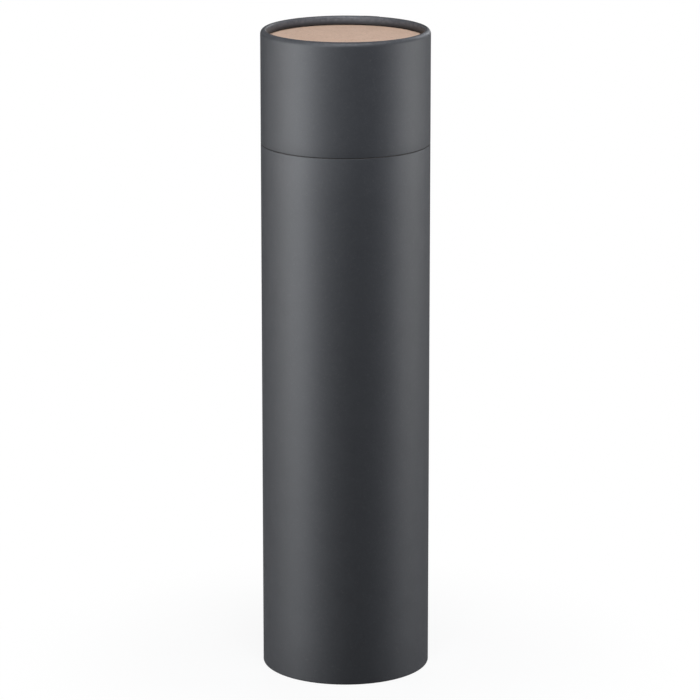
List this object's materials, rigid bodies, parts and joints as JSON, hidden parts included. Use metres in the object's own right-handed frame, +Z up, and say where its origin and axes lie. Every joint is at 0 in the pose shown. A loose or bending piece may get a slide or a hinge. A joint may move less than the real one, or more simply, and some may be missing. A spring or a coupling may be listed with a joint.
{
  "type": "cylindrical gift tube box",
  "caption": "Tall round paper tube box with a flush slip lid on an inner neck, rolled rims and recessed natural board discs; stands on a flat base.",
  "frame": {"origin": "centre of the base, on the surface that the box stands on", "axes": "+Z up along the tube's axis, towards the lid; the box is round, so X and Y are any two directions across it"},
  "size_m": [0.09, 0.09, 0.348],
  "materials": {
    "charcoal_paper": "matt",
    "kraft_paper": "matt",
    "tube_board": "matt",
    "disc_board": "matt"
  },
  "bodies": {
    "body": {"body_tube": "tube_board", "body_wrap": "charcoal_paper", "inner_tube": "tube_board", "inner_tube_facing": "kraft_paper", "inner_tube_lining": "kraft_paper", "base_disc": "disc_board", "base_disc_facing": "kraft_paper", "base_disc_lining": "kraft_paper"},
    "lid": {"lid_tube": "tube_board", "lid_wrap": "charcoal_paper", "lid_lining": "kraft_paper", "lid_disc": "disc_board", "lid_disc_facing": "kraft_paper", "lid_disc_lining": "kraft_paper"}
  },
  "joints": [
    {"name": "lid_lift", "type": "slide", "parent": "body", "child": "lid", "axis": [0, 0, 1], "range_m": [0, 0.2]}
  ]
}
